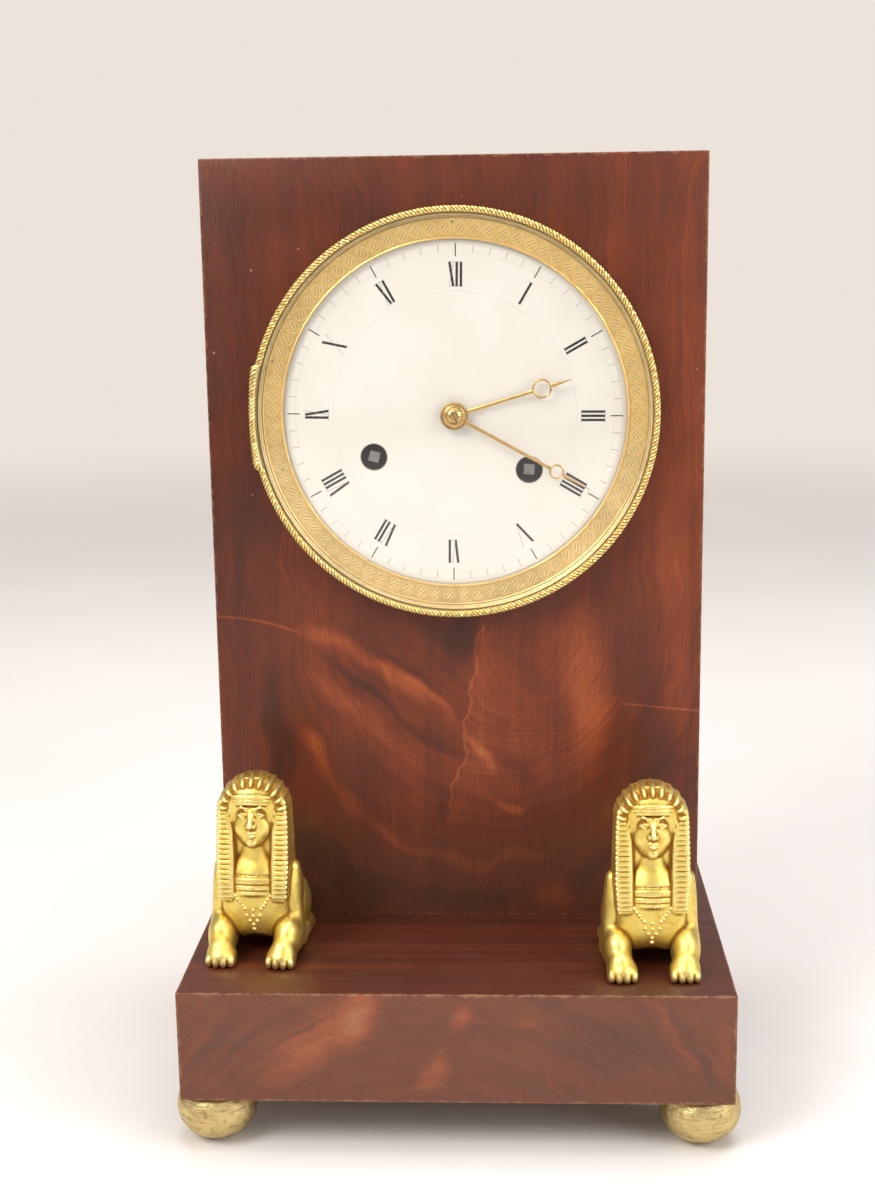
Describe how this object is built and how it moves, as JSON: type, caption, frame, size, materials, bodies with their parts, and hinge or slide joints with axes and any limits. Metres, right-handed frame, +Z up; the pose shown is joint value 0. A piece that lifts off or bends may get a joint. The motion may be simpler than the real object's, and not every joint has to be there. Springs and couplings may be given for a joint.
{
  "type": "mantel clock",
  "caption": "Upright mahogany mantel clock on a projecting plinth with bun feet, two gilt sphinxes, an enamel dial under a hinged convex glass, and a striking pendulum movement.",
  "frame": {"origin": "on the floor, under the middle of the part", "axes": "+Z up, the dial faces -Y, +X to the right of someone who reads the dial"},
  "size_m": [0.1954, 0.1678, 0.3341],
  "materials": {
    "mahogany": "French polished mahogany veneer",
    "oak": "plain dry oak",
    "gilt_bronze": "mercury-gilt bronze",
    "gilt_hands": "gilt brass with a coppery tone",
    "brass": "polished brass",
    "steel": "polished steel",
    "bell_metal": "turned bell metal",
    "enamel": "white enamel",
    "glass": "clear convex glass"
  },
  "bodies": {
    "case": {"case_front": "mahogany", "case_back": "oak", "case_side_left": "mahogany", "case_side_right": "mahogany", "case_top": "mahogany", "plinth_top": "mahogany", "plinth_front": "mahogany", "plinth_side_left": "mahogany", "plinth_side_right": "mahogany", "plinth_back": "oak", "plinth_bottom": "oak", "foot_front_left": "gilt_bronze", "foot_front_right": "gilt_bronze", "foot_back_left": "gilt_bronze", "foot_back_right": "gilt_bronze", "sphinx_left": "gilt_bronze", "sphinx_right": "gilt_bronze", "bezel_seat": "brass", "guilloche_ring": "gilt_bronze", "enamel_dial": "enamel", "bezel_hinge_pin": "steel", "front_plate": "brass", "back_plate": "brass", "pillar_1": "brass", "pillar_2": "brass", "pillar_3": "brass", "pillar_4": "brass", "suspension_cock": "brass", "bell": "bell_metal", "bell_stand": "steel", "rear_bezel": "brass", "rear_hinge_pin": "steel", "strap_left": "brass", "strap_right": "brass", "strap_screw_left": "steel", "strap_screw_right": "steel"},
    "front_bezel": {"bezel_rim": "gilt_bronze", "dial_glass": "glass"},
    "rear_door": {"rear_door": "brass", "rear_door_glass": "glass"},
    "minute_work": {"centre_arbor": "steel", "minute_hand": "gilt_hands", "hand_collet": "gilt_hands"},
    "hour_work": {"hour_wheel": "brass", "hour_hand": "gilt_hands"},
    "minute_wheel": {"minute_wheel": "brass"},
    "intermediate": {"intermediate_wheel": "brass"},
    "going_barrel": {"going_barrel": "brass"},
    "third": {"third_wheel": "brass"},
    "escape": {"escape_wheel": "brass"},
    "going_winding": {"going_winding_arbor": "steel"},
    "strike_barrel": {"strike_barrel": "brass"},
    "strike_winding": {"strike_winding_arbor": "steel"},
    "strike_second": {"strike_second_wheel": "brass", "count_wheel": "brass"},
    "pin_wheel": {"pin_wheel": "brass"},
    "anchor": {"anchor": "steel"},
    "pendulum": {"pendulum_rod": "steel", "pendulum_bob": "brass"},
    "hammer": {"hammer": "steel"}
  },
  "joints": [
    {"name": "bezel_hinge", "type": "hinge", "parent": "case", "child": "front_bezel", "pos_m": [-0.0714, -0.01695, 0.2456], "axis": [0, 0, -1], "range_deg": [0, 100]},
    {"name": "rear_door_hinge", "type": "hinge", "parent": "case", "child": "rear_door", "pos_m": [-0.0596, 0.08075, 0.2456], "axis": [0, 0, 1], "range_deg": [0, 100]},
    {"name": "minute_hand_turn", "type": "hinge", "parent": "case", "child": "minute_work", "pos_m": [0, -0.01455, 0.2456], "axis": [0, 1, 0], "continuous": true},
    {"name": "hour_hand_turn", "type": "hinge", "parent": "case", "child": "hour_work", "pos_m": [0, -0.01455, 0.2456], "axis": [0, 1, 0], "continuous": true},
    {"name": "minute_wheel_turn", "type": "hinge", "parent": "case", "child": "minute_wheel", "pos_m": [0, -0.01455, 0.2576], "axis": [0, 1, 0], "continuous": true},
    {"name": "intermediate_turn", "type": "hinge", "parent": "case", "child": "intermediate", "pos_m": [0.01677, -0.01455, 0.24279], "axis": [0, 1, 0], "continuous": true},
    {"name": "going_barrel_turn", "type": "hinge", "parent": "case", "child": "going_barrel", "pos_m": [0.026, -0.01455, 0.2263], "axis": [0, 1, 0], "continuous": true},
    {"name": "third_turn", "type": "hinge", "parent": "case", "child": "third", "pos_m": [0.00955, -0.01455, 0.2589], "axis": [0, 1, 0], "continuous": true},
    {"name": "escape_turn", "type": "hinge", "parent": "case", "child": "escape", "pos_m": [0, -0.01455, 0.2676], "axis": [0, 1, 0], "continuous": true},
    {"name": "going_winding", "type": "hinge", "parent": "case", "child": "going_winding", "pos_m": [0.026, -0.01455, 0.2263], "axis": [0, 1, 0], "range_deg": [0, 1800]},
    {"name": "strike_barrel_turn", "type": "hinge", "parent": "case", "child": "strike_barrel", "pos_m": [-0.0285, -0.01455, 0.2312], "axis": [0, 1, 0], "continuous": true},
    {"name": "strike_winding", "type": "hinge", "parent": "case", "child": "strike_winding", "pos_m": [-0.0285, -0.01455, 0.2312], "axis": [0, 1, 0], "range_deg": [0, 1800]},
    {"name": "strike_second_turn", "type": "hinge", "parent": "case", "child": "strike_second", "pos_m": [-0.02361, -0.01455, 0.24946], "axis": [0, 1, 0], "continuous": true},
    {"name": "pin_wheel_turn", "type": "hinge", "parent": "case", "child": "pin_wheel", "pos_m": [-0.02213, -0.01455, 0.26639], "axis": [0, 1, 0], "continuous": true},
    {"name": "pendulum_swing", "type": "hinge", "parent": "case", "child": "pendulum", "pos_m": [0, -0.01455, 0.2796], "axis": [0, 1, 0], "range_deg": [-4, 4]},
    {"name": "anchor_rock", "type": "hinge", "parent": "case", "child": "anchor", "pos_m": [0, -0.01455, 0.2796], "axis": [0, 1, 0], "range_deg": [-4, 4]},
    {"name": "hammer_lift", "type": "hinge", "parent": "case", "child": "hammer", "pos_m": [-0.038, -0.01455, 0.2716], "axis": [0, 1, 0], "range_deg": [0, 14], "stiffness_Nm_per_rad": 0.02, "springref_deg": -28.65}
  ],
  "couplings": [
    {"joint": "hour_hand_turn", "follows": "minute_hand_turn", "ratio": 0.083333},
    {"joint": "minute_wheel_turn", "follows": "minute_hand_turn", "ratio": -0.33333},
    {"joint": "intermediate_turn", "follows": "minute_hand_turn", "ratio": -0.13333},
    {"joint": "going_barrel_turn", "follows": "minute_hand_turn", "ratio": 0.016667},
    {"joint": "third_turn", "follows": "minute_hand_turn", "ratio": -12},
    {"joint": "escape_turn", "follows": "minute_hand_turn", "ratio": 140},
    {"joint": "strike_second_turn", "follows": "strike_barrel_turn", "ratio": -8},
    {"joint": "pin_wheel_turn", "follows": "strike_barrel_turn", "ratio": 60},
    {"joint": "anchor_rock", "follows": "pendulum_swing", "ratio": 1}
  ]
}
